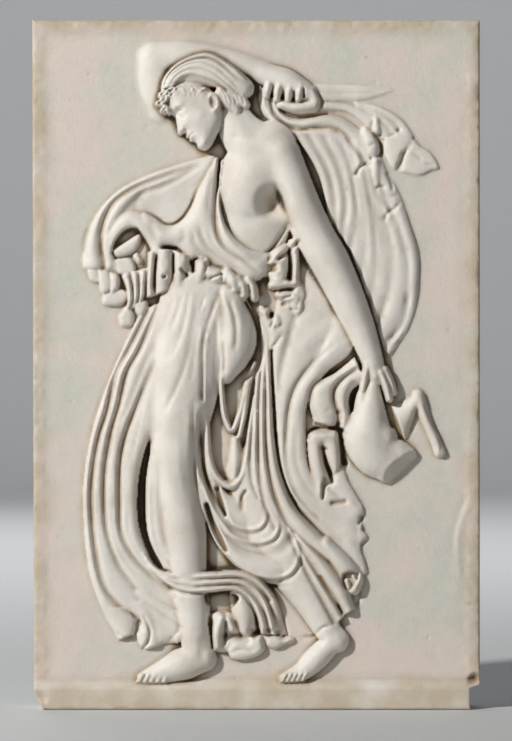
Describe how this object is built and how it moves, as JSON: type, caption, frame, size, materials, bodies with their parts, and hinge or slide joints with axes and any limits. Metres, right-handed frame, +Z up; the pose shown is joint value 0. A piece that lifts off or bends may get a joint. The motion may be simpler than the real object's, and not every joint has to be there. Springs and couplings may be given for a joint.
{
  "type": "marble relief plaque",
  "caption": "Upright marble wall plaque carved in relief with a dancer in swinging drapery who holds a knife and a haunch, standing on a plain ledge",
  "frame": {"origin": "centre of the flat back of the slab, where it lies against the wall", "axes": "+Z up along the height, +Y into the wall, the carving faces -Y, +X to the right of someone looking at the carving"},
  "size_m": [0.39, 0.0671, 0.6],
  "materials": {
    "marble": "hand-carved white marble, figure rubbed smooth, ground a little rougher and stained"
  },
  "bodies": {
    "root": {"plaque": "marble"}
  },
  "joints": []
}
